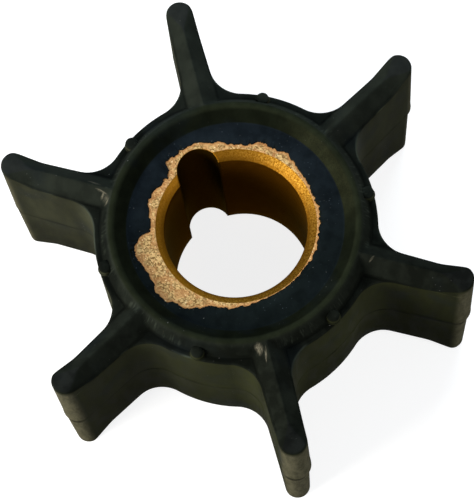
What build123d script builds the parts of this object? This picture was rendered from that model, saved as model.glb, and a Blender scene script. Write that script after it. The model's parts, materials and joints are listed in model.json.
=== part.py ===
from build123d import *

import os
from math import cos, radians, sin, tan

# Flexible pump impeller: a hub with straight radial vanes, moulded in rubber round a keyed bronze bush.
# Millimetres.  Z is the bore's axis, the lower pads stand on z = 0, and a vane points along +X.
# Everything is chained outwards from the shaft: bore, bush wall, rim, then the vanes to the tip circle.

# Overall
TIP_DIAMETER = 51.0
WIDTH = 23.0  # from the pads on one side to the pads on the other
VANE_COUNT = 6

# Bronze bush
BORE = 15.0
BUSH_WALL = 3.5
BUSH_CHAMFER = 0.6
KEY_AZIMUTH = 138.0  # degrees from the +X vane
KEY_RADIUS = 2.35  # the keyway is half round
KEY_DEPTH = 2.1  # below the wall of the bore
BOND_LINE = 0.01  # primer film between bush and rubber

# Rim of the hub, from the bush outwards.  The same on both sides.
FLOOR_MARGIN = 0.4  # flat floor beyond the bush
RING_INNER_RUN = 1.25  # sloped wall from the floor up to the ring's land
RING_LAND = 0.5
RING_OUTER_RUN = 0.95  # sloped wall from the land down to the shelf
SHELF_WIDTH = 0.85
FLOOR_DROP = 1.5  # floor below the pads
SHELF_DROP = 1.86  # shelf below the pads
SKIN = 0.25  # rubber flash over the ends of the bush

# Vanes, in plan at the parting plane
VANE_TIP_THICKNESS = 3.08
VANE_TAPER = 1.75  # degrees that each side opens towards the hub
TIP_FLAT = 0.1  # flat left between the two rounded corners where the tip is thinnest
ROOT_FILLET = 3.45
RIDGE_BASE = 3.3  # width of the roof on a vane at the level of the shelf
PAD_LENGTH = 3.6  # flat at the tip, level with the roof's crest, measured along the crest
PAD_ANGLE = 26  # degrees between the crest and each of the two slopes that end the pad

# Moulding
DRAFT = 0.6  # degrees, both ways from the parting plane
PARTING_STEP = 0.1  # the lower mould half is this much smaller all round

# Nubs on the upper shelf, one to each gap between vanes, a little unevenly placed in the mould
NUB_AZIMUTHS = (29, 94, 156, 214, 270, 331)
NUB_RADIUS = 0.7
NUB_HEIGHT = 0.95
NUB_EDGE = 0.02  # from the nub to the edge of the shelf

# Torn inner edge of the flash on the upper end: azimuth in degrees, then how much of the bush's
# end face is bare there, from 0 at the chamfer to 1 at the bush's outside.
TORN_EDGE = [
    (-173, 0.33), (-166, 0.22), (-161, 0.29), (-158, 0.63), (-153, 0.90), (-145, 0.91), (-141, 0.81),
    (-136, 0.76), (-131, 0.79), (-127, 0.80), (-124, 0.93), (-117, 0.93), (-110, 0.73), (-106, 0.78),
    (-101, 0.62), (-90, 0.28), (-78, 0.29), (-71, 0.22), (-63, 0.20), (-55, 0.12), (-41, 0.11),
    (-25, 0.13), (-19, 0.11), (-10, 0.21), (-2, 0.24), (9, 0.20), (29, 0.27), (36, 0.19), (46, 0.25),
    (60, 0.30), (64, 0.42), (67, 0.39), (70, 0.50), (74, 0.53), (77, 0.39), (86, 0.47), (91, 0.51),
    (94, 0.37), (99, 0.28), (111, 0.32), (116, 0.48), (121, 0.47), (128, 0.65), (133, 0.71),
    (147, 0.68), (152, 0.75), (154, 0.40), (159, 0.27), (161, 0.36), (165, 0.27), (168, 0.39),
    (174, 0.47), (179, 0.48),
]
LOWER_FLASH = 0.9  # the flash on the lower end reaches this far over the bush, to a plain circle

OVERRUN = 1.0  # how far a cutter passes the face that it cuts, and a nub reaches below its shelf

bore_radius = BORE / 2
bush_radius = bore_radius + BUSH_WALL
floor_radius = bush_radius + FLOOR_MARGIN
land_inner_radius = floor_radius + RING_INNER_RUN
land_outer_radius = land_inner_radius + RING_LAND
foot_radius = land_outer_radius + RING_OUTER_RUN
hub_radius = foot_radius + SHELF_WIDTH
tip_radius = TIP_DIAMETER / 2
half_width = WIDTH / 2
draft_inset = half_width * tan(radians(DRAFT))  # of a wall, from the parting plane to the pads
tip_round = VANE_TIP_THICKNESS / 2 - PARTING_STEP - draft_inset - TIP_FLAT / 2
nub_circle_radius = hub_radius - draft_inset - NUB_EDGE - NUB_RADIUS
beyond_roots = (hub_radius + tip_radius) / 2  # divides the vane roots from the vane tips
shelf_level = half_width - SHELF_DROP
floor_level = half_width - FLOOR_DROP
bush_end_level = floor_level - SKIN


def from_axis(place):
    """Distance of a point from the bore's axis."""
    return Vector(place.X, place.Y).length


def vane_outline():
    """One vane in plan along +X: straight sides that open towards the hub, and a square tip."""
    half_tip = VANE_TIP_THICKNESS / 2
    half_root = half_tip + tip_radius * tan(radians(VANE_TAPER))
    return make_face(Polyline((0, -half_root), (tip_radius, -half_tip), (tip_radius, half_tip),
                              (0, half_root), close=True))


def wheel_outline():
    """Hub and vanes in plan at the parting plane, with the vane roots filleted."""
    wheel = Circle(hub_radius) + PolarLocations(0, VANE_COUNT) * vane_outline()
    roots = wheel.vertices().filter_by(lambda vertex: from_axis(vertex) < beyond_roots)
    return fillet(roots, ROOT_FILLET)


def drafted_wheel(outline):
    """The outline drawn up from the parting plane, with draft, and the corners of each tip rounded."""
    wheel = extrude(outline, half_width)
    wheel = draft(wheel.faces().filter_by(Axis.Z, reverse=True), Plane.XY, DRAFT)
    uprights = wheel.edges().filter_by(lambda edge: edge.bounding_box().size.Z > half_width / 2)
    corners = uprights.filter_by(lambda edge: from_axis(edge.center()) > beyond_roots)
    return fillet(corners, tip_round)


def tip_pad():
    """The pad on one vane's tip: an arrow that points at the hub, whose two slopes are the roof's."""
    depth = 2 * VANE_TIP_THICKNESS
    side = make_face(Polyline((-RIDGE_BASE / 2, shelf_level), (depth, shelf_level), (depth, half_width),
                              (0, half_width), close=True))
    slope = Rot(0, 0, PAD_ANGLE - 90) * extrude(Plane.XZ * side, 2 * PAD_LENGTH, both=True)
    return Pos(tip_radius - PAD_LENGTH, 0, 0) * (slope & mirror(slope, Plane.XZ))


def crown():
    """Everything the moulding may fill on one side: shelf, ring, roofed vanes and tip pads."""
    reach = tip_radius + OVERRUN
    rim = make_face(Polyline((0, 0), (reach, 0), (reach, shelf_level), (foot_radius, shelf_level),
                             (land_outer_radius, half_width), (0, half_width), close=True))
    solid = revolve(Plane.XZ * rim, Axis.Z)
    roof = make_face(Polyline((-RIDGE_BASE / 2, shelf_level), (RIDGE_BASE / 2, shelf_level),
                              (0, half_width), close=True))
    roof = extrude(Plane.YZ.offset(land_inner_radius) * roof, tip_radius - PAD_LENGTH - land_inner_radius)
    return solid + PolarLocations(0, VANE_COUNT) * (roof + tip_pad())


def nub():
    """A round location nub that stands on the shelf, as good as flush with the hub's wall."""
    post = extrude(Circle(NUB_RADIUS), NUB_HEIGHT + OVERRUN)
    return Pos(nub_circle_radius, 0, shelf_level - OVERRUN) * post


def moulded_half(outline):
    """One half of the moulding, from the parting plane up to the pads, still solid in the middle."""
    body = drafted_wheel(outline) & crown()
    recess = make_face(Polyline((0, floor_level), (floor_radius, floor_level),
                                (land_inner_radius, half_width), (land_inner_radius, half_width + OVERRUN),
                                (0, half_width + OVERRUN), close=True))
    return body - revolve(Plane.XZ * recess, Axis.Z)


def torn_opening():
    """The torn opening in the flash on the upper end, as straight tears from point to point."""
    mouth_radius = bore_radius + BUSH_CHAMFER
    points = []
    for azimuth, share in TORN_EDGE:
        radius = mouth_radius + share * (bush_radius - mouth_radius)
        points.append((radius * cos(radians(azimuth)), radius * sin(radians(azimuth))))
    return make_face(Polyline(*points, close=True))


def rubber_impeller():
    """The whole moulding: two halves back to back, hollowed for the bush and open at its ends."""
    outline = wheel_outline()
    upper = moulded_half(outline)
    lower = mirror(moulded_half(offset(outline, -PARTING_STEP)), Plane.XY)
    solid = upper + lower
    for azimuth in NUB_AZIMUTHS:
        solid += Rot(0, 0, azimuth) * nub()
    solid -= Cylinder(bush_radius + BOND_LINE, 2 * (bush_end_level + BOND_LINE))
    solid -= Pos(0, 0, bush_end_level) * extrude(torn_opening(), SKIN + OVERRUN)
    solid -= Pos(0, 0, -bush_end_level) * extrude(Circle(bush_radius - LOWER_FLASH), -SKIN - OVERRUN)
    return Pos(0, 0, half_width) * solid


def bronze_bush():
    """Sintered bush with chamfered bore mouths and a half-round keyway right through."""
    chamfer_level = bush_end_level - BUSH_CHAMFER
    chamfer_radius = bore_radius + BUSH_CHAMFER
    side = make_face(Polyline((bore_radius, -chamfer_level), (chamfer_radius, -bush_end_level),
                              (bush_radius, -bush_end_level), (bush_radius, bush_end_level),
                              (chamfer_radius, bush_end_level), (bore_radius, chamfer_level), close=True))
    solid = revolve(Plane.XZ * side, Axis.Z)
    key_offset = bore_radius + KEY_DEPTH - KEY_RADIUS
    keyway = Rot(0, 0, KEY_AZIMUTH) * Pos(key_offset, 0, 0) * Cylinder(KEY_RADIUS, 2 * half_width)
    return Pos(0, 0, half_width) * (solid - keyway)


NODES = {
    "rubber_impeller": rubber_impeller,
    "bronze_bush": bronze_bush,
}

os.makedirs("parts", exist_ok=True)
for name, make in NODES.items():
    export_step(make(), f"parts/{name}.step")
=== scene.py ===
import json
from math import acos, atan2, cos, pi, radians, sin, sqrt, tan

import bpy
import numpy as np
from mathutils import Matrix, Vector

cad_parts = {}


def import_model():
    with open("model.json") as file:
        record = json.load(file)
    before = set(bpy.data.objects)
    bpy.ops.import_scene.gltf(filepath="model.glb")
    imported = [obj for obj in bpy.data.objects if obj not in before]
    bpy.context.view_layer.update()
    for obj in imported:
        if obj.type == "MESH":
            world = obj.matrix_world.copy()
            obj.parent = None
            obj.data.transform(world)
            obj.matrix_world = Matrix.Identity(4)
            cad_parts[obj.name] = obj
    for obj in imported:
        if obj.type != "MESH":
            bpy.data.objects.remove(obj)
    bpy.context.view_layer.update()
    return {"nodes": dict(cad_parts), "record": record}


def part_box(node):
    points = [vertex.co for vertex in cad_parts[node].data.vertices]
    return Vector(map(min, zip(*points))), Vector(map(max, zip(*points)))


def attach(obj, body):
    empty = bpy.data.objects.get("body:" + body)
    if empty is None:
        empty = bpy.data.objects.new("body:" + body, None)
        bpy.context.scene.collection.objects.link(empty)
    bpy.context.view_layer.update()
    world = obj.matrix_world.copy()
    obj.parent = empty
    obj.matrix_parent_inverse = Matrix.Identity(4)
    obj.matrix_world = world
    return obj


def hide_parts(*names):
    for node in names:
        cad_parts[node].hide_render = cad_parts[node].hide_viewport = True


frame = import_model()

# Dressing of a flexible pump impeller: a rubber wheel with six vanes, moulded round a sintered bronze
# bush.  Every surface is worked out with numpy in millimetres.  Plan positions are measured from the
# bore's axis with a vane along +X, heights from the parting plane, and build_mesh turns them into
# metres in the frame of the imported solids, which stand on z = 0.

MM = 0.001
TURN = 2 * pi


# ---- Sizes ------------------------------------------------------------------------------------------

def node_box(node):
    """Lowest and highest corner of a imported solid, in millimetres."""
    low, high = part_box(node)
    return np.array(low) / MM, np.array(high) / MM


def bore_mount():
    """The record's bore mount, which gives the shaft's radius."""
    return next(m for m in frame["record"]["mounts"] if m["kind"] == "bore")


rubber_low, rubber_high = node_box("rubber_impeller")
bush_low, bush_high = node_box("bronze_bush")
TIP_RADIUS = (rubber_high[0] - rubber_low[0]) / 2
HALF_WIDTH = (rubber_high[2] - rubber_low[2]) / 2
BUSH_RADIUS = (bush_high[0] - bush_low[0]) / 2
BUSH_HALF = (bush_high[2] - bush_low[2]) / 2
BORE_RADIUS = bore_mount()["dims"]["r_mm"]

VANES = 6
SECTOR = pi / VANES  # half the angle between two vanes

# Rim of the hub, outwards from the bush
SKIN = 0.25
FLOOR_LEVEL = BUSH_HALF + SKIN
FLOOR_RADIUS = BUSH_RADIUS + 0.4
LAND_INNER = FLOOR_RADIUS + 1.25
LAND_OUTER = LAND_INNER + 0.5
FOOT_RADIUS = LAND_OUTER + 0.95
HUB_RADIUS = FOOT_RADIUS + 0.85
SHELF_LEVEL = HALF_WIDTH - 1.86

# Vanes, in plan at the parting plane
TIP_ROUND = 1.58
TAPER = radians(1.75)
ROOT_FILLET = 3.45
EAVE_HALF = 1.65
PAD_START = TIP_RADIUS - 3.6
PAD_ANGLE = radians(26)

# Moulding
DRAFT = tan(radians(0.6))
PARTING_STEP = 0.1
EDGE_ROUND = 0.26
CREASE = 0.22  # width over which two faces of the crown run into each other
CREST_ROUND = 0.2
MISMATCH = np.array([-0.09, 0.0])  # how far the lower half of the mould sat off the upper one

# Nubs on the upper shelf
NUB_AZIMUTHS = (29, 94, 156, 214, 270, 331)
NUB_RADIUS = 0.7
NUB_HEIGHT = 0.95
NUB_CIRCLE = HUB_RADIUS - DRAFT * HALF_WIDTH - NUB_RADIUS

# Bush
CHAMFER = 0.95  # across the chamfer in plan
CHAMFER_DEPTH = 0.75
MOUTH_SHIFT = np.array([0.07, 0.1])  # the chamfer was cut a little off the bore's axis
LOWER_OPENING = BUSH_RADIUS - 0.9
KEY_AZIMUTH = radians(138.0)
KEY_RADIUS = 2.35
KEY_OFFSET = BORE_RADIUS + 2.1 - KEY_RADIUS


# ---- Small helpers ----------------------------------------------------------------------------------

def spread(*stops):
    """Rising values through the stops: each pair of numbers is a position and how many steps lead to it
    from the position before."""
    values = [np.array([stops[0]])]
    last = stops[0]
    for place, steps in stops[1:]:
        values.append(np.linspace(last, place, steps + 1)[1:])
        last = place
    return np.concatenate(values)


def smooth_min(a, b, width):
    """The smaller of a and b, with the corner between them rounded over the width."""
    blend = np.clip(1 - np.abs(a - b) / width, 0, 1)
    return np.minimum(a, b) - blend * blend * width / 4


def soft_ramp(value, width):
    """Zero for negative values and the value itself for positive ones, rounded over the width."""
    return (value + np.sqrt(value * value + width * width)) / 2


def smooth_step(low, high, value):
    """Zero below low, one above high, with an even S between them."""
    share = np.clip((value - low) / (high - low), 0, 1)
    return share * share * (3 - 2 * share)


def waves(angle, seed, slowest, fastest, fade):
    """A seeded periodic noise round the axis, from -1 to 1 or so: cosines of every whole number of waves
    a turn from slowest to fastest, each with a random phase and a height that falls off by the power fade."""
    draw = np.random.default_rng(seed)
    counts = np.arange(slowest, fastest + 1)
    heights = (counts / slowest) ** -fade * draw.uniform(0.4, 1, len(counts))
    phases = draw.uniform(0, TURN, len(counts))
    total = np.zeros_like(angle)
    for count, height, phase in zip(counts, heights, phases):
        total += height * np.cos(count * angle + phase)
    return total / np.sqrt((heights ** 2).sum())


def grid_faces(rows, columns, first=0, closed=True):
    """Quads of a grid of points stored row by row, as four corner numbers each.  Columns join up into a
    loop where closed."""
    across = np.arange(columns if closed else columns - 1)
    along = np.arange(rows - 1)[:, None]
    a = along * columns + across
    b = along * columns + (across + 1) % columns
    quads = np.stack([a, b, b + columns, a + columns], axis=-1)
    return quads.reshape(-1, 4) + first


def headings(angle):
    """Unit vectors in plan at these angles, one to a row."""
    return np.stack([np.cos(angle), np.sin(angle)], -1)


def from_vane(azimuth):
    """The angle from the middle plane of the nearest vane."""
    return (azimuth + SECTOR) % (2 * SECTOR) - SECTOR


def vertices_of(piece):
    """Every vertex of an object's mesh, in millimetres."""
    co = np.zeros(len(piece.data.vertices) * 3)
    piece.data.vertices.foreach_get("co", co)
    return co.reshape(-1, 3) / MM


def weld(points, faces):
    """Points that lie on the same spot become one, and faces that fold up to nothing are left out."""
    _, first, number = np.unique(np.round(points, 4), axis=0, return_index=True, return_inverse=True)
    number = number.ravel()
    kept = []
    for face in faces:
        corners = number[np.asarray(face)]
        repeat = corners != np.roll(corners, 1, axis=-1)
        if corners.ndim == 1:
            kept.append([corners[repeat]])
            continue
        whole = repeat.all(axis=-1)
        kept.append(corners[whole])
        kept.append([row[keep] for row, keep in zip(corners[~whole], repeat[~whole]) if keep.sum() > 2])
    return points[first], [list(map(int, face)) for group in kept for face in group if len(face) > 2]


def build_mesh(name, points, faces, material):
    """A smooth-shaded object at the origin from points in millimetres measured from the parting plane."""
    points, polygons = weld(points, faces)
    placed = points * MM
    placed[:, 2] += HALF_WIDTH * MM
    mesh = bpy.data.meshes.new(name)
    mesh.from_pydata(placed.tolist(), [], polygons)
    mesh.polygons.foreach_set("use_smooth", np.ones(len(polygons), bool))
    mesh.validate()
    mesh.update()
    mesh.materials.append(material)
    piece = bpy.data.objects.new(name, mesh)
    bpy.context.scene.collection.objects.link(piece)
    return piece


# ---- Rubber: plan of half a vane --------------------------------------------------------------------

HUB_STEPS = 12
FILLET_STEPS = 16
ROOF_STEPS = 9  # along the straight side, where the roof reaches it
SLOPE_STOPS = ((0.3, 2), (1.9, 7), (2.45, 4))  # past the roof, where the pad's slope reaches the side
ROUND_STOPS = ((74, 2), (68, 3), (62, 4), (56, 3), (0, 10))  # degrees round the tip
APEX_SPREAD = 0.05  # half the room on the crest for all the lines that meet at the pad's point


def half_vane():
    """Outline of half a vane and its share of the hub, from half way between two vanes to the tip: points,
    their inward directions, and for each point its end on the spine, which runs along the outside of the
    ring's land and then out along the vane's crest.  The lines from the slope that ends the pad all meet
    at the pad's point, so that the slope's edges run along lines."""
    tip_centre = TIP_RADIUS - TIP_ROUND
    tangent = np.array([tip_centre + TIP_ROUND * sin(TAPER), TIP_ROUND * cos(TAPER)])
    along = np.array([-cos(TAPER), sin(TAPER)])
    outward = np.array([sin(TAPER), cos(TAPER)])
    # the fillet's centre stands off the side by its radius, and off the hub's circle by the same
    start = tangent + outward * ROOT_FILLET
    reach = HUB_RADIUS + ROOT_FILLET
    half = start @ along
    travel = -half - sqrt(half * half - start @ start + reach * reach)
    if travel < 0:
        travel = -half + sqrt(half * half - start @ start + reach * reach)
    centre = start + travel * along
    fillet_end = centre - outward * ROOT_FILLET
    hub_azimuth = atan2(centre[1], centre[0])

    hub_angle = np.linspace(SECTOR, hub_azimuth, HUB_STEPS + 1)
    hub_ray = headings(hub_angle)
    hub = (hub_ray * HUB_RADIUS, -hub_ray, hub_ray * LAND_OUTER)

    first = atan2(-centre[1], -centre[0])
    last = atan2(fillet_end[1] - centre[1], fillet_end[0] - centre[0])
    turn = np.linspace(first, last, FILLET_STEPS + 1)[1:]
    ray = headings(turn)
    fillet = centre + ray * ROOT_FILLET
    valley = np.array([sqrt(FOOT_RADIUS ** 2 - EAVE_HALF ** 2), EAVE_HALF])
    corner = np.array([LAND_OUTER, 0.0])
    # the station whose line to the spine passes through the valley between ring and roof
    line = valley - corner
    side_of_line = (fillet - corner)[:, 0] * line[1] - (fillet - corner)[:, 1] * line[0]
    valley_station = int(np.argmin(np.abs(side_of_line)))
    steps_left = FILLET_STEPS - 1 - valley_station
    round_share = np.linspace(0, 1, valley_station + 2)[1:]
    round_angle = hub_azimuth * (1 - round_share)
    fillet_spine = np.zeros_like(fillet)
    fillet_spine[:valley_station + 1] = headings(round_angle) * LAND_OUTER
    crest = np.linspace(LAND_OUTER, fillet_end[0], steps_left + 1)[1:]
    fillet_spine[valley_station + 1:, 0] = crest

    # the roof and the pad's slope, equally steep, meet on the line half way between their directions
    roof_end = PAD_START - EAVE_HALF * tan(PAD_ANGLE / 2)
    roof_x = np.linspace(fillet_end[0], roof_end, ROOF_STEPS + 1)[1:]
    slope_x = roof_end + spread(0.0, *SLOPE_STOPS)[1:]
    side_x = np.concatenate([roof_x, slope_x[slope_x < tangent[0] - 0.1], tangent[:1]])
    side = np.stack([side_x, tangent[1] + (tangent[0] - side_x) * tan(TAPER)], -1)
    side_inward = np.broadcast_to(-outward, side.shape)

    tip_angle = np.radians(spread(90 - np.degrees(TAPER), *ROUND_STOPS))[1:]
    tip_ray = headings(tip_angle)
    tip = np.array([tip_centre, 0]) + tip_ray * TIP_ROUND

    beyond = np.concatenate([side, tip])
    on_slope = (beyond[:, 0] > roof_end + 1e-6) & (beyond[:, 1] > (beyond[:, 0] - PAD_START) * tan(PAD_ANGLE))
    crest_end = np.interp(roof_x, [fillet_end[0], roof_end], [fillet_end[0], PAD_START - APEX_SPREAD])
    fan = PAD_START + APEX_SPREAD * np.linspace(-1, 1, on_slope.sum() + 2)[1:-1]
    last_angle = tip_angle[-(len(beyond) - len(roof_x) - on_slope.sum()):]
    pad_share = 1 - last_angle / (last_angle[0] + 0.05)
    pad = PAD_START + APEX_SPREAD + (tip_centre + 0.5 * TIP_ROUND - PAD_START) * pad_share
    spine_x = np.concatenate([crest_end, fan, pad])
    beyond_spine = np.stack([spine_x, np.zeros_like(spine_x)], -1)

    points = np.concatenate([hub[0], fillet, beyond])
    inward = np.concatenate([hub[1], ray, side_inward, -tip_ray])
    spine = np.concatenate([hub[2], fillet_spine, beyond_spine])
    return points, inward, spine, HUB_STEPS + 1 + valley_station


def whole_wheel():
    """The half vane mirrored and turned into the full loop round the wheel, counter-clockwise."""
    points, inward, spine, corner = half_vane()
    flip = np.array([1.0, -1.0])
    loops = []
    for part in (points, inward, spine):
        # from the middle of the gap before the vane, out to its tip, and back to the next gap
        vane = np.concatenate([part * flip, part[::-1][1:-1]])
        turned = []
        for k in range(VANES):
            c, s = cos(2 * SECTOR * k), sin(2 * SECTOR * k)
            turned.append(vane @ np.array([[c, s], [-s, c]]))
        loops.append(np.concatenate(turned))
    count = len(points)
    vane_columns = 2 * count - 2
    on_ring = np.concatenate([np.arange(corner + 1), vane_columns - np.arange(1, corner)[::-1]])
    ring_columns = (np.arange(VANES)[:, None] * vane_columns + on_ring).ravel()
    return loops[0], loops[1], loops[2], ring_columns


def crown_height(plan):
    """Height of the top over the plan: the drop from the pads is the smallest of the drops to the shelf,
    the ring's outer slope, the vane's roof and the slope beside the tip's pad, with rounded joins."""
    x, y = plan[..., 0], plan[..., 1]
    radius = np.hypot(x, y)
    azimuth = np.arctan2(y, x)
    local = from_vane(azimuth)
    along, across = radius * np.cos(local), np.abs(radius * np.sin(local))
    depth = HALF_WIDTH - SHELF_LEVEL
    ring = soft_ramp(radius - LAND_OUTER, 0.1) * depth / (FOOT_RADIUS - LAND_OUTER)
    rise = np.sqrt(across ** 2 + CREST_ROUND ** 2) - CREST_ROUND
    roof = rise * depth / (sqrt(EAVE_HALF ** 2 + CREST_ROUND ** 2) - CREST_ROUND)
    beside_pad = across * cos(PAD_ANGLE) - (along - PAD_START) * sin(PAD_ANGLE)
    pad = soft_ramp(beside_pad, 0.2) * depth / EAVE_HALF
    drop = smooth_min(np.full_like(ring, depth), roof, CREASE)
    drop = smooth_min(drop, ring, CREASE)
    drop = smooth_min(drop, pad, CREASE)
    return HALF_WIDTH - np.maximum(drop, 0)


# ---- Rubber: rows from the spine over the edge and down the wall ------------------------------------

EDGE_ANGLES = np.radians([0, 22, 45, 68, 90])
WALL_HEIGHTS = np.array([0.93, 0.8, 0.6, 0.4, 0.22])  # shares of the half wall, above the parting detail
LIP_LEVELS = np.array([0.55, 0.26, 0.13, 0.07, 0.0, -0.07, -0.25, -0.33, -0.44, -0.65])
LIP_STAND = np.array([0.0, 0.005, 0.03, 0.05, -0.05, -0.13, -0.13, -0.03, 0.0, 0.0])


def crown_rows(edge, inward, spine):
    """Rows over the top, from the spine out to the rounded edge.  Along each line from edge to spine they
    gather at the edge, at the foot of the slope and at the crest."""
    span = np.linalg.norm(spine - edge, axis=-1)
    line = (spine - edge) / span[:, None]
    # how far in from the edge the slope begins: where the line meets the ring's foot or the roof's eave
    tries = np.linspace(0, 1, 200)
    probe = edge[:, None] + tries[None, :, None] * (spine - edge)[:, None]
    radius = np.hypot(probe[..., 0], probe[..., 1])
    azimuth = np.arctan2(probe[..., 1], probe[..., 0])
    local = from_vane(azimuth)
    on_slope = (radius < FOOT_RADIUS) | (np.abs(radius * np.sin(local)) < EAVE_HALF)
    foot = np.argmax(on_slope, axis=1) / 199 * span
    foot = np.clip(foot, EDGE_ROUND + 0.12, span * 0.75)
    rounding = EDGE_ROUND * (1 - np.cos(EDGE_ANGLES))
    rows = [np.full_like(span, r) for r in rounding]
    shelf = foot - EDGE_ROUND
    rows += [EDGE_ROUND + shelf * share for share in (0.4, 0.75, 0.92)]
    slope = span - foot
    rows += [foot + slope * share for share in (0.0, 0.07, 0.17, 0.3, 0.45, 0.6, 0.75, 0.87, 0.94, 0.98, 1.0)]
    distance = np.stack(rows)
    plan = edge + distance[..., None] * line
    height = crown_height(plan)
    drops = EDGE_ROUND * (1 - np.sin(EDGE_ANGLES))
    height[:len(drops)] = height[0] - drops[:, None]
    return np.concatenate([plan, height[..., None]], -1)[::-1]


def wheel_shell():
    """The outside of the moulding beyond the ring's land, as one closed-loop grid: rows run from the upper
    spine over the edge, down the wall past the parting line, and in to the lower spine."""
    outline, inward, spine, ring_columns = whole_wheel()
    angle = np.arctan2(outline[:, 1], outline[:, 0])
    upper = crown_rows(outline + inward * DRAFT * HALF_WIDTH, inward, spine)
    lower_outline = outline + inward * PARTING_STEP + MISMATCH
    lower = crown_rows(lower_outline + inward * DRAFT * HALF_WIDTH, inward, spine)
    top_edge, bottom_edge = upper[-1, :, 2], -lower[-1, :, 2]
    flash = 0.75 + 0.45 * waves(angle, 3, 9, 70, 0.4)
    wander = 0.035 * waves(angle, 4, 7, 60, 0.6)
    rows = []
    for share in WALL_HEIGHTS:
        level = LIP_LEVELS[0] + (top_edge - LIP_LEVELS[0]) * share
        rows.append(np.column_stack([outline + inward * (level * DRAFT)[:, None], level]))
    for level, stand in zip(LIP_LEVELS, LIP_STAND):
        inset = abs(level) * DRAFT - stand * flash + (PARTING_STEP if level < 0 else 0)
        shift = MISMATCH if level < 0 else 0
        rows.append(np.column_stack([outline + shift + inward * inset[:, None], level + wander]))
    for share in WALL_HEIGHTS[::-1]:
        level = LIP_LEVELS[-1] + (bottom_edge - LIP_LEVELS[-1]) * share
        shrunk = outline + MISMATCH + inward * (PARTING_STEP - level * DRAFT)[:, None]
        rows.append(np.column_stack([shrunk, level]))
    wall = np.stack(rows)
    underside = lower[::-1] * np.array([1, 1, -1])
    shell = np.concatenate([upper, wall, underside])
    return shell, ring_columns


# ---- Rubber: ring, floor and flash ------------------------------------------------------------------

FINE = 4  # columns of the flash to each column of the ring
FLOOR_JOIN = FLOOR_RADIUS - 0.15


def ring_rows():
    """Radii and heights from just inside the land's outer edge, down the inner slope to the floor."""
    radius = np.concatenate([
        LAND_OUTER - np.array([0.05, 0.15, 0.3, 0.42]),
        LAND_INNER + np.array([0.03, -0.06, -0.2]),
        np.linspace(LAND_INNER - 0.4, FLOOR_RADIUS + 0.25, 4),
        FLOOR_RADIUS + np.array([0.12, 0.03, -0.06]),
        [FLOOR_JOIN],
    ])
    depth = HALF_WIDTH - FLOOR_LEVEL
    outer = soft_ramp(radius - LAND_OUTER, 0.1) * (HALF_WIDTH - SHELF_LEVEL) / (FOOT_RADIUS - LAND_OUTER)
    inner = soft_ramp(LAND_INNER - radius, 0.14) * depth / (LAND_INNER - FLOOR_RADIUS)
    drop = smooth_min(np.maximum(outer, inner), np.full_like(radius, depth), 0.22)
    drop[-1] = depth
    return radius, HALF_WIDTH - np.maximum(drop, 0)


def torn_edge(azimuth):
    """Radius of the flash's torn inner edge on the upper side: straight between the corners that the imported
    solid has there, and roughened by seeded waves."""
    co = vertices_of(frame["nodes"]["rubber_impeller"]) - np.array([0, 0, HALF_WIDTH])
    radius = np.hypot(co[:, 0], co[:, 1])
    corners = (np.abs(co[:, 2] - FLOOR_LEVEL) < 0.01) & (radius < BUSH_RADIUS - 0.02)
    angle = np.arctan2(co[corners, 1], co[corners, 0])
    order = np.argsort(angle)
    line = np.interp(azimuth, angle[order], radius[corners][order], period=TURN)
    return line + 0.075 * waves(azimuth, 11, 30, 130, 0.6) + 0.03 * waves(azimuth, 12, 150, 420, 0.4)


def lower_edge(azimuth):
    """Radius of the flash's edge on the lower side, a circle that wanders a little."""
    return LOWER_OPENING + 0.05 * waves(azimuth, 21, 3, 40, 0.7) + 0.025 * waves(azimuth, 22, 60, 300, 0.5)


def flash_rows(azimuth, edge):
    """Rows of the thin flash over the bush's end: in along the floor, round the edge, and back under it to
    the bush's outside.  The flash thins towards the nearest point of the torn edge."""
    edge = np.minimum(edge, FLOOR_JOIN - 0.25)
    mouth = BORE_RADIUS + CHAMFER + MOUTH_SHIFT @ np.stack([np.cos(azimuth), np.sin(azimuth)])
    edge = np.maximum(edge, mouth + 0.04 + 0.04 * waves(azimuth, 34, 20, 300, 0.5))
    rim = 0.07 + 0.03 * waves(azimuth, 33, 30, 200, 0.4)
    direction = headings(azimuth)
    torn = edge[:, None] * direction
    rows = [(np.full_like(edge, FLOOR_JOIN - 0.03), np.full_like(edge, FLOOR_LEVEL))]
    smooth_edge = np.mean([np.roll(edge, shift) for shift in range(-12, 13)], axis=0)
    radius, thinned = edge, []
    for share in (0.03, 0.08, 0.16, 0.27, 0.42, 0.6, 0.8):
        base = edge + (smooth_edge - edge) * smooth_step(0.0, 0.35, share)
        radius = np.maximum(base + (FLOOR_JOIN - base) * share, radius + 0.01)
        away = np.linalg.norm((radius[:, None] * direction)[:, None] - torn[None], axis=-1).min(axis=1)
        thin = 1 - smooth_step(0, 0.8, away)
        thinned.append((radius, FLOOR_LEVEL - thin * (SKIN - rim - 0.03)))
    rows += thinned[::-1]
    rows.append((edge + 0.004, BUSH_HALF + rim * 0.8))
    rows.append((edge - 0.01, BUSH_HALF + rim * 0.4))
    rows.append((edge + 0.01, np.full_like(edge, BUSH_HALF)))
    rows.append((np.full_like(edge, BUSH_RADIUS), np.full_like(edge, BUSH_HALF)))
    radius = np.stack([r for r, _ in rows])
    level = np.stack([np.broadcast_to(z, edge.shape) for _, z in rows])
    return np.stack([radius * np.cos(azimuth), radius * np.sin(azimuth), level], -1)


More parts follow.
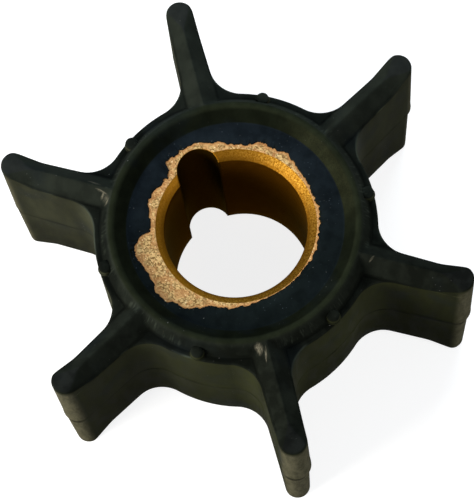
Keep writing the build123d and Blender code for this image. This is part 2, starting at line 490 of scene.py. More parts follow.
def nub(azimuth):
    """A location nub: a post with a rounded top and a small flare where it meets the shelf."""
    top = SHELF_LEVEL + NUB_HEIGHT
    profile = np.array([
        (0.0, top), (0.3, top), (0.5, top - 0.02), (0.6, top - 0.07), (0.67, top - 0.17), (0.7, top - 0.32),
        (0.71, SHELF_LEVEL + 0.22), (0.74, SHELF_LEVEL + 0.1), (0.82, SHELF_LEVEL - 0.01),
        (0.7, SHELF_LEVEL - 0.12), (0.6, SHELF_LEVEL - 0.6), (0.0, SHELF_LEVEL - 0.6)])
    turn = np.linspace(0, TURN, 28, endpoint=False)
    radius = profile[:, 0][:, None] * NUB_RADIUS / 0.7
    x = NUB_CIRCLE * cos(azimuth) + radius * np.cos(turn)
    y = NUB_CIRCLE * sin(azimuth) + radius * np.sin(turn)
    z = np.broadcast_to(profile[:, 1][:, None], x.shape)
    return np.stack([x, y, z], -1)


def rubber_wheel(material):
    """The whole moulding as one closed mesh: the shell, the ring and flash of both sides, the wall against
    the bush, and the nubs."""
    points, faces = [], []
    total = 0

    def add(grid, reverse=False, closed=True):
        nonlocal total
        rows, columns = grid.shape[:2]
        quads = grid_faces(rows, columns, total, closed)
        faces.append(quads[:, ::-1] if reverse else quads)
        points.append(grid.reshape(-1, 3))
        first = total
        total += rows * columns
        return first

    shell, ring_columns = wheel_shell()
    add(shell, reverse=True)
    ring_start = shell[0, ring_columns]
    ring_azimuth = np.unwrap(np.arctan2(ring_start[:, 1], ring_start[:, 0]))
    step = np.diff(np.append(ring_azimuth, ring_azimuth[0] + TURN)) / FINE
    fine_azimuth = (ring_azimuth[:, None] + step[:, None] * np.arange(FINE)).ravel()
    ring_radius, ring_level = ring_rows()
    ring = np.stack([ring_radius[:, None] * np.cos(ring_azimuth), ring_radius[:, None] * np.sin(ring_azimuth),
                     np.broadcast_to(ring_level[:, None], (len(ring_radius), len(ring_azimuth)))], -1)
    ring = np.concatenate([ring_start[None], ring])
    bond = []
    for side, edge in ((1, torn_edge(fine_azimuth)), (-1, lower_edge(fine_azimuth))):
        mirror = np.array([1, 1, side])
        coarse = add(ring * mirror, reverse=side < 0)
        coarse += (len(ring) - 1) * len(ring_azimuth)
        flash = flash_rows(fine_azimuth, edge)
        fine = add(flash * mirror, reverse=side < 0)
        bond.append(flash[-1] * mirror)
        for k in range(len(ring_azimuth)):
            after = (k + 1) % len(ring_azimuth)
            low = [fine + (k * FINE + j) % len(fine_azimuth) for j in range(FINE + 1)]
            face = [coarse + k, coarse + after] + low[::-1]
            faces.append(np.array(face if side > 0 else face[::-1]))
    add(np.stack(bond))
    for azimuth in NUB_AZIMUTHS:
        add(nub(radians(azimuth)), reverse=True)
    return build_mesh("moulded_rubber", np.concatenate(points), faces, material)


# ---- Bush -------------------------------------------------------------------------------------------

BORE_STEPS = 260
KEY_STEPS = 60


def bush_loop(radius):
    """Plan of the bush's opening where the bore has this radius: the circle, and the half-round keyway."""
    cosine = (radius ** 2 + KEY_OFFSET ** 2 - KEY_RADIUS ** 2) / (2 * radius * KEY_OFFSET)
    meet = acos(cosine)
    corner = np.array([radius * cos(meet), radius * sin(meet)])
    swing = atan2(corner[1], corner[0] - KEY_OFFSET)
    key_turn = np.linspace(-swing, swing, KEY_STEPS + 1)
    key = np.stack([KEY_OFFSET + KEY_RADIUS * np.cos(key_turn), KEY_RADIUS * np.sin(key_turn)], -1)
    bore_turn = np.linspace(meet, TURN - meet, BORE_STEPS + 1)[1:-1]
    bore = np.stack([radius * np.cos(bore_turn), radius * np.sin(bore_turn)], -1)
    loop = np.concatenate([key, bore])
    c, s = cos(KEY_AZIMUTH), sin(KEY_AZIMUTH)
    return loop @ np.array([[c, s], [-s, c]])


FLASH_GAP = "gap to the flash"


def mark_flash_gap(piece):
    """Stores at every point of the bush how far it lies inside the torn edge of the flash, in millimetres."""
    x, y = vertices_of(piece)[:, :2].T
    gap = torn_edge(np.arctan2(y, x)) - np.hypot(x, y)
    piece.data.attributes.new(FLASH_GAP, "FLOAT", "POINT").data.foreach_set("value", gap)


def bush(material):
    """The bush as one closed-loop grid: up the bore, over the chamfer and the end face, down the outside and
    back under."""
    mouth = bush_loop(BORE_RADIUS + CHAMFER) + MOUTH_SHIFT
    bore = bush_loop(BORE_RADIUS)
    azimuth = np.arctan2(mouth[:, 1], mouth[:, 0])
    outside = headings(azimuth) * BUSH_RADIUS
    shoulder = BUSH_HALF - CHAMFER_DEPTH

    def row(plan, level):
        return np.column_stack([plan, np.full(len(plan), level)])

    up = [row(bore, level) for level in np.linspace(0, shoulder - 0.04, 8)]
    for share, lift in ((0.03, 0.0), (0.1, 0.08), (0.5, 0.5), (0.9, 0.92), (0.97, 1.0)):
        plan = bush_loop(BORE_RADIUS + CHAMFER * share) + MOUTH_SHIFT * share
        up.append(row(plan, shoulder + CHAMFER_DEPTH * lift))
    for share in (0.03, 0.12, 0.3, 0.5, 0.7, 0.9, 1.0):
        up.append(row(mouth + (outside - mouth) * share, BUSH_HALF))
    up = np.stack(up)
    down = up[::-1][:-1] * np.array([1, 1, -1])
    grid = np.concatenate([up, down])
    rows, columns = grid.shape[:2]
    ring = np.concatenate([grid, grid[:1]])
    faces = [grid_faces(rows + 1, columns)[:, ::-1]]  # turned over, so that they point out of the bronze
    return build_mesh("sintered_bush", ring.reshape(-1, 3), faces, material)


# ---- Materials: building blocks ---------------------------------------------------------------------

class Signal:
    """What a shader node puts out, for use in formulas: each of + - * / and abs() adds one node."""

    def __init__(self, socket):
        self.socket = socket
        self.tree = socket.id_data

    def __add__(self, other):
        return maths("ADD", self, other)

    def __sub__(self, other):
        return maths("SUBTRACT", self, other)

    def __rsub__(self, other):
        return maths("SUBTRACT", other, self)

    def __mul__(self, other):
        return maths("MULTIPLY", self, other)

    def __truediv__(self, other):
        return maths("DIVIDE", self, other)

    def __abs__(self):
        return maths("ABSOLUTE", self)


def outputs(made):
    """A node's outputs as signals, by name."""
    return {socket.name: Signal(socket) for socket in made.outputs}


def tree_of(*values):
    """The node tree of the first signal among the values."""
    return next(value.tree for value in values if isinstance(value, Signal))


def fill(socket, value):
    """Links a socket to a signal, or sets its value."""
    if isinstance(value, Signal):
        value.tree.links.new(value.socket, socket)
    else:
        socket.default_value = value


def node(tree, kind, group=None, **inputs):
    """A shader node with its named inputs set or linked.  A group node is given its group first."""
    made = tree.nodes.new(kind)
    if group:
        made.node_tree = group
    for name, value in inputs.items():
        fill(made.inputs[name.replace("_", " ")], value)
    return made


def maths(operation, *values):
    """One step of arithmetic on numbers or signals."""
    made = tree_of(*values).nodes.new("ShaderNodeMath")
    made.operation = operation
    for socket, value in zip(made.inputs, values):
        fill(socket, value)
    return Signal(made.outputs["Value"])


def larger(first, second):
    """The larger of two numbers."""
    return maths("MAXIMUM", first, second)


def vector_maths(operation, first, second):
    """One step of arithmetic on vectors."""
    made = tree_of(first, second).nodes.new("ShaderNodeVectorMath")
    made.operation = operation
    fill(made.inputs[0], first)
    fill(made.inputs[1], second)
    return Signal(made.outputs["Vector"])


def parts(vector):
    """The three numbers of a vector."""
    return outputs(node(vector.tree, "ShaderNodeSeparateXYZ", Vector=vector)).values()


def between(low, high, value, start=0.0, end=1.0):
    """Start below low, end above high, with an even S between them."""
    made = node(value.tree, "ShaderNodeMapRange", Value=value, From_Min=low, From_Max=high,
                To_Min=start, To_Max=end)
    made.interpolation_type = "SMOOTHSTEP"
    return Signal(made.outputs["Result"])


def mixed(share, first, second, way="MIX"):
    """Two colours mixed by a share, or the second laid over the first in another way."""
    made = tree_of(share, first, second).nodes.new("ShaderNodeMix")
    made.data_type = "RGBA"
    made.blend_type = way
    for number, value in zip((0, 6, 7), (share, first, second)):
        fill(made.inputs[number], (*value, 1) if isinstance(value, tuple) else value)
    return Signal(made.outputs[2])


def per_length(size):
    """How many features of this size in millimetres fit in a metre."""
    return maths("DIVIDE", 1 / MM, size) if isinstance(size, Signal) else 1 / (size * MM)


def noise(place, size, detail=2.0, roughness=0.5):
    """Soft noise from 0 to 1 whose features are about this many millimetres apart."""
    made = node(place.tree, "ShaderNodeTexNoise", Vector=place, Scale=per_length(size), Detail=detail,
                Roughness=roughness)
    return Signal(made.outputs["Fac"])


def node_group(name, inputs, results):
    """An empty node group: its inputs are names with default values, its results are names."""
    tree = bpy.data.node_groups.new(name, "ShaderNodeTree")
    for label, default in inputs:
        kind = "NodeSocketVector" if isinstance(default, tuple) else "NodeSocketFloat"
        tree.interface.new_socket(label, in_out="INPUT", socket_type=kind).default_value = default
    for label in results:
        tree.interface.new_socket(label, in_out="OUTPUT", socket_type="NodeSocketFloat")
    return tree, outputs(tree.nodes.new("NodeGroupInput")), tree.nodes.new("NodeGroupOutput").inputs


def use(group, **inputs):
    """The outputs of a node group placed in a material with its own values."""
    return outputs(node(tree_of(*inputs.values()), "ShaderNodeGroup", group, **inputs))


NOWHERE = (0.0, 0.0, 0.0)
TONE_SHIFT = (0.031, 0.017, 0.023)  # metres between the noise of the height and that of the tone


def moulded_grain():
    """Grain of a moulded or pressed surface.  Height is fine noise of the grain's size, mixed by a share
    with slow noise of the unevenness's size.  Tone is another slow noise, from 0 to 1, for the colour."""
    tree, source, sink = node_group("moulded grain", [
        ("Vector", NOWHERE), ("Grain", 0.2), ("Unevenness", 2.0), ("Uneven Share", 0.3)], ["Height", "Tone"])
    height = tree.nodes.new("ShaderNodeMix")
    fill(height.inputs[0], source["Uneven Share"])
    fill(height.inputs[2], noise(source["Vector"], source["Grain"], 3.0, 0.6))
    fill(height.inputs[3], noise(source["Vector"], source["Unevenness"]))
    fill(sink["Height"], Signal(height.outputs[0]))
    moved = vector_maths("ADD", source["Vector"], TONE_SHIFT)
    fill(sink["Tone"], between(0.3, 0.7, noise(moved, source["Unevenness"], 3.0, 0.55)))
    return tree


def scattered_specks():
    """Round specks of dust, or pores, strewn at random.  One point lies in each cell of the spacing; the
    mask is 1 within the speck's radius of it, and only the share of cells whose random number is lowest
    has a speck.  A speck's radius is half to one and a half times the given one."""
    tree, source, sink = node_group("scattered specks", [
        ("Vector", NOWHERE), ("Spacing", 0.8), ("Radius", 0.06), ("Share", 0.3)], ["Mask"])
    cells = outputs(node(tree, "ShaderNodeTexVoronoi", Vector=source["Vector"],
                         Scale=per_length(source["Spacing"])))
    draw = outputs(node(tree, "ShaderNodeSeparateColor", Color=cells["Color"]))
    size = (draw["Green"] + 0.5) * source["Radius"]
    inside = 1.0 - between(0.5, 1.0, cells["Distance"] * source["Spacing"] / size)
    fill(sink["Mask"], inside * maths("LESS_THAN", draw["Red"], source["Share"]))
    return tree


GRAIN = moulded_grain()
SPECKS = scattered_specks()


class Surface:
    """A material's tree with the readings that its masks need: the place on the piece; in millimetres the
    distance from the bore's axis, the height over the parting plane, the same without its sign, and the
    distance across from the middle plane of the nearest vane; the azimuth round the axis; and how level
    the surface is, from 0 to 1."""

    def __init__(self, name):
        self.material = bpy.data.materials.new(name)
        self.material.use_nodes = True
        self.tree = self.material.node_tree
        self.shader = self.tree.nodes["Principled BSDF"]
        coordinates = outputs(self.tree.nodes.new("ShaderNodeTexCoord"))
        self.place = coordinates["Object"]
        self.x, self.y, z = parts(self.place)
        self.radius = maths("SQRT", self.x * self.x + self.y * self.y) / MM
        self.height = z / MM - HALF_WIDTH
        self.side = abs(self.height)
        self.azimuth = maths("ARCTAN2", self.y, self.x)
        self.across = abs(self.radius * maths("SINE", maths("WRAP", self.azimuth, SECTOR, -SECTOR)))
        *_, facing_up = parts(coordinates["Normal"])
        self.level = abs(facing_up)

    def finish(self, colour, metallic, roughness, specular):
        """Puts colour, metal and roughness into the shader, and the gloss, which is the same all over."""
        fill(self.shader.inputs["Base Color"], colour)
        fill(self.shader.inputs["Metallic"], metallic)
        fill(self.shader.inputs["Roughness"], roughness)
        self.shader.inputs["Specular IOR Level"].default_value = specular

    def bump(self, height, depth):
        """Lets a height from 0 to 1 stand this many millimetres deep in the surface."""
        made = node(self.tree, "ShaderNodeBump", Height=height, Distance=depth * MM)
        fill(self.shader.inputs["Normal"], Signal(made.outputs["Normal"]))


# ---- Rubber's finish --------------------------------------------------------------------------------

# The face colours are one black rubber painted lighter and darker by how each face is lit, so they carry
# painted light and shade: walls are painted lighter and more olive than the level faces, which are painted
# bluer as a reflection of the sky, and the ring's inner slope is painted in shade.
SLOPE_COLOUR = (0.0112, 0.0134, 0.0100)
RING_COLOUR = (0.0092, 0.0114, 0.0062)
# painted shade on the ring's inner slope
INNER_COLOUR = (0.0050, 0.0064, 0.0036)
# painted light on a stretch of the ring's inner slope
LIT_INNER_COLOUR = (0.0175, 0.0195, 0.0095)
SHELF_COLOUR = (0.0088, 0.0106, 0.0080)
WALL_GREY = (0.0230, 0.0242, 0.0145)
WALL_OLIVE = (0.0136, 0.0150, 0.0062)
PAD_COLOUR = (0.0120, 0.0136, 0.0121)
FLOOR_BLUE = (0.0078, 0.0114, 0.0146)
FLOOR_GREEN = (0.0058, 0.0086, 0.0086)
WORN_COLOUR = (0.082, 0.076, 0.048)
# painted shadow along the parting line
PARTING_SHADOW_COLOUR = (0.003, 0.003, 0.002)
# pale streaks, partly scuffs and partly painted highlight
SCUFF_AND_HIGHLIGHT_COLOUR = (0.22, 0.20, 0.145)
DUST_COLOUR = (0.30, 0.30, 0.28)
SPECK_COLOUR = (0.11, 0.135, 0.155)

DRAWN_OUT = (1.0, 1.0, 0.35)  # the mould drew the walls' grain out along the bore
LIT_INNER_AZIMUTH = radians(48)  # the middle of the stretch of the ring's inner slope that is painted lit
RIM_HIGHLIGHT_AZIMUTH = radians(-163)  # the middle of the stretch where the shelf's edge has its brightest painted highlight

# How much each effect adds to, or takes from, the factor on the rubber's colour; all but the slope marks are
# painted light and shade
LAND_HIGHLIGHT = 0.3
CORNER_SHADE = 0.55
LOWER_WALL_SHADE = 0.3
SLOPE_MARKS = 1.3
HUB_WALL_LIGHT = 0.36
HUB_WALL_LIGHT_LOSS = 0.2  # what the hub wall's painted light loses down the wall
LIT_TOPS = 0.64
SHADED_TOPS = 0.34
LEFT_SLOPE_SHADE = 0.5
RIM_HIGHLIGHT = 2.4
DARKEST = 0.45  # the least that the factor falls to

# Pale streaks in the corners between crest and ring, partly scuffs and moulding residue and partly painted
# highlight where the corners face the light: each streak's azimuth and distance from the axis, the heading of
# its length, its half length and half width, and how strong it is
SCUFF_AND_HIGHLIGHT_STREAKS = (
    (-174.6, 13.95, -113, 0.95, 0.62, 0.42), (-173.6, 13.8, -115, 0.9, 0.2, 0.75),
    (-176.4, 14.2, -105, 0.7, 0.16, 0.6), (-178.5, 14.3, 170, 0.8, 0.12, 0.45),
    (179.0, 15.2, 176, 0.9, 0.12, 0.3), (-64.3, 13.9, -80, 0.85, 0.6, 0.65),
    (-64.6, 13.85, -60, 0.55, 0.34, 1.0), (-61.5, 14.5, -72, 1.0, 0.13, 0.5),
    (-66.5, 15.0, -40, 0.6, 0.1, 0.4), (-112.0, 14.1, -30, 0.8, 0.35, 0.4),
    (-109.0, 14.3, -115, 0.5, 0.14, 0.5), (-106.5, 13.9, -105, 0.45, 0.1, 0.4),
    (-1.0, 14.7, 60, 0.5, 0.12, 0.25),
)
STREAK_DROP = 0.3  # of a streak's middle, below the pads
STREAK_DEPTH = 1.1  # half the height of a streak's ellipse


def scuff_and_highlight_streak():
    """One pale streak, partly a scuff and partly a painted highlight: 1 along the middle of an ellipse with
    the given half length and half width, in millimetres, broken up by noise that is drawn out along its
    heading."""
    tree, source, sink = node_group("scuff streak", [
        ("Vector", NOWHERE), ("Centre", NOWHERE), ("Heading", 0.0), ("Length", 1.0), ("Width", 0.2)],
        ["Mask"])
    away = vector_maths("SUBTRACT", source["Vector"], source["Centre"])
    turn = node(tree, "ShaderNodeVectorRotate", Vector=away, Angle=source["Heading"] * -1.0)
    turn.rotation_type = "Z_AXIS"
    turned = Signal(turn.outputs["Vector"])
    x, y, z = parts(turned)
    along, across, deep = x / MM / source["Length"], y / MM / source["Width"], z / (STREAK_DEPTH * MM)
    reach = along * along + across * across + deep * deep
    drawn = vector_maths("MULTIPLY", turned, (0.4, 2.2, 1.0))
    broken = between(0.38, 0.62, noise(drawn, 0.3, 4.0, 0.7), 0.12, 1.0)
    fill(sink["Mask"], between(1.0, 0.1, reach) * broken)
    return tree


def mark_faces(skin):
    """Adds the masks that several effects share: level faces, walls, all within the outer edge of the ring's
    land, the floor, what is clear of the vanes' crests, the tops outside that edge, and the side of the wheel
    whose tops are painted lit."""
    skin.flat = between(0.86, 0.98, skin.level)
    skin.wall = between(0.45, 0.15, skin.level)
    skin.ring = between(LAND_OUTER + 0.2, LAND_OUTER - 0.2, skin.radius)
    skin.well = skin.flat * between(LAND_INNER - 0.2, FLOOR_RADIUS + 0.2, skin.radius)
    skin.clear = between(1.0, 1.9, skin.across)
    skin.top = (1.0 - skin.wall) * (1.0 - skin.ring)
    # the side of the wheel whose tops are painted lit
    skin.pale_side = between(-16 * MM, 18 * MM, skin.y * 0.77 - skin.x * 0.64)


def face_colours(skin):
    """The colour of each face, laid over one another in turn: slopes and ring, the ring's inner slope, a
    stretch of it, walls from grey to olive across the wheel, shelf, pads, and the floor from green to blue.
    The colours are painted light and shade: the inner slope is painted in shade with a stretch of painted
    light in grainy patches, the walls are painted lighter on one side of the wheel, and the floor is painted
    bluer on one side as a sheen."""
    # painted shade: the ring's inner slope painted darker
    inner = between(LAND_INNER + 0.1, LAND_INNER - 0.3, skin.radius)
    inner = inner * between(HALF_WIDTH - 0.05, HALF_WIDTH - 0.35, skin.side)
    # painted light: a stretch of the inner slope painted lighter where the key lamp falls on it, in grainy
    # patches
    lit_inner = inner * between(0.7, 0.15, abs(skin.azimuth - LIT_INNER_AZIMUTH))
    lit_inner = lit_inner * between(0.35, 0.6, noise(skin.place, 0.16, 3.0, 0.7), 0.5, 1.0)
    # painted light: the walls painted lighter and greyer on one side of the wheel, darker and more olive on
    # the other
    walls = mixed(between(-14 * MM, 24 * MM, skin.x - skin.y), WALL_GREY, WALL_OLIVE)
    shelf = skin.flat * between(SHELF_LEVEL + 0.5, SHELF_LEVEL + 0.2, skin.side)
    pad = skin.flat * between(PAD_START - 0.6, PAD_START + 0.4, skin.radius)
    # painted sheen: the floor painted bluer on one side of the wheel, greener and darker on the other
    floors = mixed(between(-9 * MM, 9 * MM, skin.y * 0.9 - skin.x * 0.4), FLOOR_GREEN, FLOOR_BLUE)
    colour = mixed(skin.ring, SLOPE_COLOUR, RING_COLOUR)
    for mask, laid in ((inner, INNER_COLOUR), (lit_inner, LIT_INNER_COLOUR), (skin.wall, walls),
                       (shelf, SHELF_COLOUR), (pad, PAD_COLOUR), (skin.well, floors)):
        colour = mixed(mask, colour, laid)
    return colour


def shaded_corners(skin):
    """1 in the corners that are painted in shade: at the foot of the ring between the vanes, and under the
    eaves.
    """
    foot = between(0.3, 0.0, abs(skin.radius - (FOOT_RADIUS + 0.05)))
    eave = between(0.28, 0.0, abs(skin.across - (EAVE_HALF + 0.05)))
    eave = eave * between(FOOT_RADIUS - 0.3, FOOT_RADIUS, skin.radius)
    corner = larger(foot * skin.clear, eave) * between(HALF_WIDTH - 1.0, SHELF_LEVEL, skin.side)
    return corner * between(SHELF_LEVEL - 0.4, SHELF_LEVEL - 0.1, skin.side)


def slope_marks(skin):
    """Short light marks across the ring's outer slope, in patches."""
    round_ring = outputs(node(skin.tree, "ShaderNodeCombineXYZ", X=skin.azimuth * (FOOT_RADIUS * MM),
                              Y=skin.radius * (0.2 * MM)))["Vector"]
    marks = between(0.5, 0.68, noise(round_ring, 0.22, 3.0, 0.7))
    marks = marks * between(LAND_OUTER, LAND_OUTER + 0.3, skin.radius)
    marks = marks * between(FOOT_RADIUS + 0.1, FOOT_RADIUS - 0.3, skin.radius)
    return marks * between(0.45, 0.6, noise(skin.place, 3.0))


def highlit_rim(skin):
    """1 where the rounded edge of the shelf has a painted highlight: on one stretch, and in patches
    elsewhere.
    """
    rim = between(SHELF_LEVEL - 0.32, SHELF_LEVEL - 0.12, skin.side)
    rim = rim * between(SHELF_LEVEL + 0.02, SHELF_LEVEL - 0.06, skin.side)
    stretch = between(0.24, 0.1, abs(skin.azimuth - RIM_HIGHLIGHT_AZIMUTH))
    return rim * larger(stretch, between(0.52, 0.68, noise(skin.place, 4.5)))


def rubber_shade(skin, drawn, tone):
    """The factor on the rubber's colour, from its grain and blotches.  It rises with painted highlights on
    the ring's land and the shelf's rim, with the marks of the ring's outer slope, and with painted light on
    the hub's wall and on the lit side's tops.  It falls with painted shade in the corners, down the walls, on
    the tops of the other side, and on ring and shelf on one side of the wheel."""
    # painted highlight on the ring's land
    land = between(LAND_INNER - 0.35, LAND_INNER + 0.1, skin.radius)
    land = land * between(LAND_OUTER + 0.35, LAND_OUTER, skin.radius)
    # painted shade: the walls darker towards the bottom
    lower = skin.wall * between(1.0, -7.0, skin.height)
    # painted light: the hub's wall painted lighter, less so down the wall
    hub_wall = skin.wall * between(FOOT_RADIUS + 3.6, HUB_RADIUS + 0.4, skin.radius)
    # painted shade on the ring's outer slope and the shelf on one side of the wheel
    shaded_left = skin.clear * between(LAND_OUTER, LAND_OUTER + 0.4, skin.radius)
    shaded_left = between(-9 * MM, -11.5 * MM, skin.x) * shaded_left * (1.0 - skin.wall)
    shade = between(0.0, 1.0, tone, 0.8, 1.12) + between(0.3, 0.7, noise(drawn, 3.6, 3.0, 0.6), -0.16, 0.16)
    # painted highlight on the land, painted shade in the corners and down the walls
    shade = shade + land * LAND_HIGHLIGHT - shaded_corners(skin) * CORNER_SHADE - lower * LOWER_WALL_SHADE
    shade = shade + slope_marks(skin) * SLOPE_MARKS + hub_wall * (HUB_WALL_LIGHT - lower * HUB_WALL_LIGHT_LOSS)
    # painted light and shade: tops painted lighter on one side of the wheel and darker on the other
    shade = shade + skin.top * (skin.pale_side * LIT_TOPS - SHADED_TOPS) - shaded_left * LEFT_SLOPE_SHADE
    return larger(shade + highlit_rim(skin) * RIM_HIGHLIGHT, DARKEST)


def parting_shadow(skin, rubbed):
    """Painted shadow in the groove under the lip of the parting line, thick and thin along it, thinner on one
    side of the wheel, and reaching lower on the rubbed tips."""
    depth = -0.7 - rubbed * 0.6
    groove = between(0.02, -0.15, skin.height) * between(depth - 0.5, depth, skin.height)
    thickness = between(0.36, 0.6, noise(skin.place, 2.6), 0.35, 0.7)
    thickness = thickness * between(-16 * MM, -11 * MM, skin.x, 0.5, 1.0)
    return groove * larger(thickness, rubbed * 0.72)


def scuffs_and_highlights(skin):
    """The strongest of all the streaks at each place."""
    group = scuff_and_highlight_streak()
    strongest = 0.0
    for azimuth, distance, heading, length, width, strength in SCUFF_AND_HIGHLIGHT_STREAKS:
        angle = radians(azimuth)
        centre = (distance * cos(angle) * MM, distance * sin(angle) * MM, (2 * HALF_WIDTH - STREAK_DROP) * MM)
        streak = use(group, Vector=skin.place, Centre=centre, Heading=radians(heading), Length=length,
                     Width=width)["Mask"]
        strongest = larger(strongest, streak * strength)
    return strongest


def rubber_material():
    """Black nitrile rubber: olive black on walls and slopes, blue black on the floor, both painted by how
    each face is lit, with worn grey tips, a painted shadow along the parting line, painted shade in the
    corners at the foot of the ring and the vanes' roofs, pale streaks beside the ring that are partly scuffs
    and partly painted highlight, and specks of dust."""
    skin = Surface("black nitrile rubber")
    mark_faces(skin)
    drawn = vector_maths("MULTIPLY", skin.place, DRAWN_OUT)
    grain = use(GRAIN, Vector=drawn, Grain=0.2, Unevenness=1.3, Uneven_Share=0.4)
    shade = rubber_shade(skin, drawn, grain["Tone"])
    grey = outputs(node(skin.tree, "ShaderNodeCombineColor", Red=shade, Green=shade, Blue=shade))["Color"]
    colour = mixed(1.0, face_colours(skin), grey, "MULTIPLY")
    # random bluish patches, and a painted bluish sheen on the tops of the lit side
    bluish = between(0.5, 0.75, noise(skin.place, 5.0)) * 0.35
    colour = mixed(larger(bluish, skin.top * skin.pale_side * 0.08), colour, FLOOR_BLUE)

    # the tips rub on the pump's casing: the wear fades along the vane and is thinner in patches
    rubbed = between(TIP_RADIUS - 1.6, TIP_RADIUS - 0.5, skin.radius) * between(0.9, 0.6, skin.level)
    rubbed = rubbed * between(HALF_WIDTH, HALF_WIDTH - 1.6, skin.height)
    patches = between(0.3, 0.7, noise(drawn, 0.55, 5.0, 0.75), 0.45, 1.0)
    colour = mixed(rubbed * patches, colour, WORN_COLOUR)
    # painted shadow under the parting lip
    colour = mixed(parting_shadow(skin, rubbed), colour, PARTING_SHADOW_COLOUR)
    # pale streaks: partly scuffs, partly painted highlight
    colour = mixed(scuffs_and_highlights(skin), colour, SCUFF_AND_HIGHLIGHT_COLOUR)

    # dust, thicker in some places than in others, and fine specks strewn on the floor
    dust = use(SPECKS, Vector=skin.place, Spacing=0.45, Radius=0.04, Share=0.3)["Mask"]
    thick = between(0.42, 0.68, noise(skin.place, 5.0), 0.1, 0.9) * (skin.flat * 0.7 + 0.3)
    colour = mixed(dust * thick, colour, DUST_COLOUR)
    fine = use(SPECKS, Vector=skin.place, Spacing=0.32, Radius=0.05, Share=0.5)["Mask"]
    strewn = skin.well * between(0.46, 0.62, noise(skin.place, 2.8), 0.05, 0.7)
    strewn = strewn * between(2 * MM, -8 * MM, skin.x, 0.4, 1.0)
    colour = mixed(fine * strewn, colour, SPECK_COLOUR)

    roughness = between(0.0, 1.0, grain["Tone"], 0.62, 0.78) + rubbed * 0.1
    skin.finish(colour, metallic=0.0, roughness=roughness, specular=0.004)
    skin.bump(grain["Height"], 0.024)
    return skin.material


# ---- Bronze's finish --------------------------------------------------------------------------------

POWDER_DARK = (0.20, 0.105, 0.034)
POWDER_PALE = (0.71, 0.48, 0.205)
POWDER_BRIGHT = (1.0, 0.84, 0.48)
POWDER_PINK = (0.52, 0.235, 0.085)
PORE_COLOUR = (0.09, 0.040, 0.011)
GOLD_DARK = (0.13, 0.052, 0.003)
GOLD_PALE = (0.32, 0.166, 0.022)
GOLD_ORANGE = (0.36, 0.150, 0.008)
BORE_BROWN = (0.045, 0.0165, 0.0006)
BORE_DEEP = (0.026, 0.0095, 0.0004)
KEYWAY_COLOUR = (0.0125, 0.0062, 0.0003)
POWDER_SIZE = 0.15  # millimetres between two grains of powder


def powdered_end(metal, tone, pores):
    """The end face: every grain of powder has a colour of its own, from brown to pale tan, pinker in
    patches and beside the torn flash, with glints and pores."""
    powder = outputs(node(metal.tree, "ShaderNodeTexVoronoi", Vector=metal.place,
                          Scale=per_length(POWDER_SIZE)))
    draw = outputs(node(metal.tree, "ShaderNodeSeparateColor", Color=powder["Color"]))
    gap = metal.tree.nodes.new("ShaderNodeAttribute")
    gap.attribute_name = FLASH_GAP
    torn = between(0.45, 0.05, Signal(gap.outputs["Fac"]))
    pink = larger(between(0.45, 0.75, tone) * 0.5, torn * 0.75)
    glints = use(SPECKS, Vector=metal.place, Spacing=0.3, Radius=0.07, Share=0.35)["Mask"]
    colour = mixed(between(0.0, 1.0, draw["Red"]), POWDER_DARK, POWDER_PALE)
    colour = mixed(pink, colour, POWDER_PINK)
    colour = mixed(glints * 0.7, colour, POWDER_BRIGHT)
    return mixed(pores * 0.6, colour, PORE_COLOUR)


def turned_chamfer(metal):
    """The machined chamfer: gold, dark and pale in fine patches, with painted light that makes it lighter,
    more orange and even on one side, and darker at its lip."""
    patches = between(0.42, 0.6, noise(metal.place, 0.16, 4.0, 0.75))
    colour = mixed(patches, GOLD_DARK, GOLD_PALE)
    # painted light: one side of the chamfer painted lighter, more orange and even
    colour = mixed(between(2 * MM, -5 * MM, metal.x, 0.0, 0.55), colour, GOLD_ORANGE)
    lip = between(BORE_RADIUS + 0.55, BORE_RADIUS + 0.15, metal.radius) * 0.6
    return mixed(lip, colour, GOLD_DARK)


def oiled_bore(metal, tone):
    """The bore: brown with oil, with painted shade that makes it deeper brown inwards, deeper brown in
    patches, and darkest in the keyway.
    """
    # painted shade: the bore darker deeper inside
    deep = between(BUSH_HALF - 1.0, BUSH_HALF - 7.0, metal.side)
    colour = mixed(deep, BORE_BROWN, BORE_DEEP)
    colour = mixed(tone * 0.5, colour, BORE_DEEP)
    across = metal.x - KEY_OFFSET * cos(KEY_AZIMUTH) * MM
    along = metal.y - KEY_OFFSET * sin(KEY_AZIMUTH) * MM
    from_key = maths("SQRT", across * across + along * along)
    keyway = between((KEY_RADIUS + 0.25) * MM, (KEY_RADIUS + 0.05) * MM, from_key)
    return mixed(keyway, colour, KEYWAY_COLOUR)


def bronze_material():
    """Sintered bronze: a matt, grainy, porous end face, a golden machined chamfer, and a bore that is
    brown with oil, darkest in the keyway."""
    metal = Surface("sintered bronze")
    grain = use(GRAIN, Vector=metal.place, Grain=0.11, Unevenness=0.9, Uneven_Share=0.3)
    pores = use(SPECKS, Vector=metal.place, Spacing=0.7, Radius=0.06, Share=0.2)["Mask"]
    face = between(0.88, 0.97, metal.level)
    bore = between(0.45, 0.25, metal.level)
    colour = mixed(face, turned_chamfer(metal), powdered_end(metal, grain["Tone"], pores))
    colour = mixed(bore, colour, oiled_bore(metal, grain["Tone"]))
    metallic = (0.8 - face * 0.65) * (1.0 - bore * 0.7)
    roughness = between(0.0, 1.0, grain["Height"], 0.38, 0.6) + face * 0.25
    metal.finish(colour, metallic, roughness, specular=0.0)
    metal.shader.inputs["Specular Tint"].default_value = (0.62, 0.48, 0.1, 1)
    metal.bump(grain["Height"] - pores * face * 0.5, 0.045)
    return metal.material


# ---- Pieces -----------------------------------------------------------------------------------------

rubber = rubber_wheel(rubber_material())
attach(rubber, "root")
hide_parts("rubber_impeller")

sleeve = bush(bronze_material())
mark_flash_gap(sleeve)
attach(sleeve, "root")
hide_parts("bronze_bush")


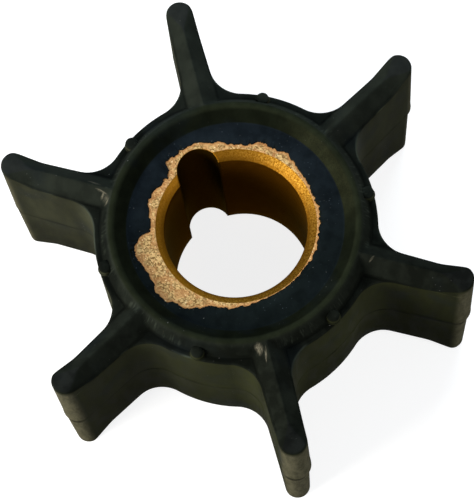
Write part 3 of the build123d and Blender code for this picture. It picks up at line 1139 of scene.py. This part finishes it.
# ---- Floor, light and camera ------------------------------------------------------------------------

FLOOR_SIZE = 1.6
TABLE_COLOUR = (0.38, 0.38, 0.38, 1)
TABLE_GLOW = 0.83  # added where the floor is seen itself, so that it reads as white paper
HORIZON = (0.27, 0.26, 0.24)
ZENITH = (0.23, 0.262, 0.31)


def floor():
    """A plain pale floor under the lower pads."""
    half = FLOOR_SIZE / 2
    mesh = bpy.data.meshes.new("floor")
    corners = [(-half, -half, 0), (half, -half, 0), (half, half, 0), (-half, half, 0)]
    mesh.from_pydata(corners, [], [(0, 1, 2, 3)])
    piece = bpy.data.objects.new("floor", mesh)
    bpy.context.scene.collection.objects.link(piece)
    material = bpy.data.materials.new("pale floor")
    material.use_nodes = True
    tree = material.node_tree
    shader = tree.nodes["Principled BSDF"]
    shader.inputs["Base Color"].default_value = TABLE_COLOUR
    shader.inputs["Roughness"].default_value = 0.9
    shader.inputs["Specular IOR Level"].default_value = 0.0
    shader.inputs["Emission Color"].default_value = (1, 1, 1, 1)
    rays = outputs(tree.nodes.new("ShaderNodeLightPath"))
    seen = larger(larger(rays["Is Camera Ray"], rays["Is Glossy Ray"]), rays["Is Transmission Ray"])
    fill(shader.inputs["Emission Strength"], seen * TABLE_GLOW)
    mesh.materials.append(material)


# Lamps: name, azimuth and elevation in degrees, distance and size in metres, power in watts, colour
LAMPS = (
    ("key", 223, 24, 0.26, 0.13, 1.22, (1.0, 0.97, 0.9)),
    ("fill", 95, 34, 0.3, 0.18, 0.72, (0.8, 0.91, 1.0)),
    ("side", -14, 16, 0.3, 0.16, 0.36, (1.0, 0.98, 0.92)),
)


def ray_towards(azimuth, elevation):
    """A vector of length 1 from the impeller towards an azimuth and an elevation."""
    return Vector((cos(elevation) * cos(azimuth), cos(elevation) * sin(azimuth), sin(elevation)))


def area_light(name, azimuth, elevation, distance, size, power, colour):
    """A square soft light that looks at the middle of the impeller from an azimuth and an elevation."""
    data = bpy.data.lights.new(name, "AREA")
    data.size = size
    data.energy = power
    data.color = colour
    lamp = bpy.data.objects.new(name, data)
    ray = ray_towards(radians(azimuth), radians(elevation))
    lamp.location = ray * distance + Vector((0, 0, HALF_WIDTH * MM))
    lamp.rotation_euler = ray.to_track_quat("Z", "Y").to_euler()
    bpy.context.scene.collection.objects.link(lamp)


def world():
    """Pale surroundings that are brightest at the horizon and darker overhead: the colour runs from the
    horizon's to the zenith's as the height of the direction goes from 0 to 0.75."""
    made = bpy.data.worlds.new("studio")
    made.use_nodes = True
    tree = made.node_tree
    *_, height = parts(outputs(tree.nodes.new("ShaderNodeTexCoord"))["Generated"])
    fill(tree.nodes["Background"].inputs["Color"], mixed(between(0.0, 0.75, height), HORIZON, ZENITH))
    bpy.context.scene.world = made


CAMERA_AZIMUTH = radians(-65.1)
CAMERA_ELEVATION = radians(72.38)
CAMERA_ROLL = radians(-9.52)
CAMERA_DISTANCE = 244.57
CAMERA_AIM = (-0.41, 0.33)
SENSOR_WIDTH = 36.0
FOCAL_LENGTH = 163.1


def camera():
    """The camera looks down on the impeller, nearly along the bore: it stands off the aim, a point of the
    parting plane, by the distance along the ray of its azimuth and elevation, and leans by its roll."""
    ray = ray_towards(CAMERA_AZIMUTH, CAMERA_ELEVATION)
    level_right = Vector((0, 0, 1)).cross(ray).normalized()
    level_up = ray.cross(level_right)
    right = level_right * cos(CAMERA_ROLL) + level_up * sin(CAMERA_ROLL)
    up = level_up * cos(CAMERA_ROLL) - level_right * sin(CAMERA_ROLL)
    data = bpy.data.cameras.new("camera")
    data.sensor_width = SENSOR_WIDTH
    data.lens = FOCAL_LENGTH
    data.clip_start = 0.01
    made = bpy.data.objects.new("camera", data)
    place = (Vector((*CAMERA_AIM, HALF_WIDTH)) + ray * CAMERA_DISTANCE) * MM
    made.matrix_world = Matrix.Translation(place) @ Matrix((right, up, ray)).transposed().to_4x4()
    bpy.context.scene.collection.objects.link(made)
    bpy.context.scene.camera = made


floor()
for lamp in LAMPS:
    area_light(*lamp)
world()
camera()
bpy.context.scene.view_settings.view_transform = "Standard"
